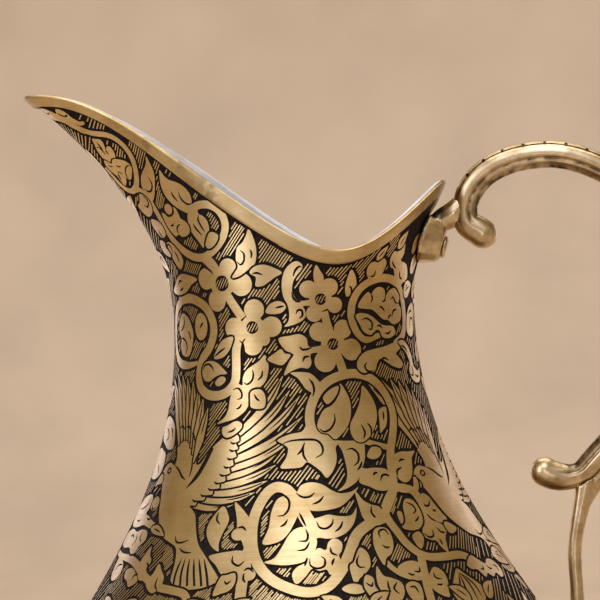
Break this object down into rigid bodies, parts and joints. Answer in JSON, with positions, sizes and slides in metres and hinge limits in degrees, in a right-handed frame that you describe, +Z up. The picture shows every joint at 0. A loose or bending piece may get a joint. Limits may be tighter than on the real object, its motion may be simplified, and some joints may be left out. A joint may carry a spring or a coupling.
{
  "type": "engraved brass jug",
  "caption": "Pear-shaped engraved brass jug with a pulled pouring lip, a saddle-shaped rim, a flared closed foot and a cast C-scroll handle on riveted ends.",
  "frame": {"origin": "on the body's axis, in the plane that the jug stands on", "axes": "+Z up along the body's axis; the handle is towards +X and the spout towards -X; XZ is the plane of symmetry"},
  "size_m": [0.1939, 0.16, 0.2719],
  "materials": {
    "engraved_brass": "brushed sheet, hand-engraved outside with a darkened ground, tinned inside",
    "plain_brass": "brushed sheet",
    "cast_brass": "cast and polished"
  },
  "bodies": {
    "root": {"base_plate": "plain_brass", "foot_ring": "plain_brass", "lower_shell": "engraved_brass", "upper_shell": "engraved_brass", "rim_band": "plain_brass", "upper_lug": "cast_brass", "handle_bow": "cast_brass", "lower_leg": "cast_brass", "upper_rivet": "cast_brass", "lower_rivet": "cast_brass"}
  },
  "joints": []
}
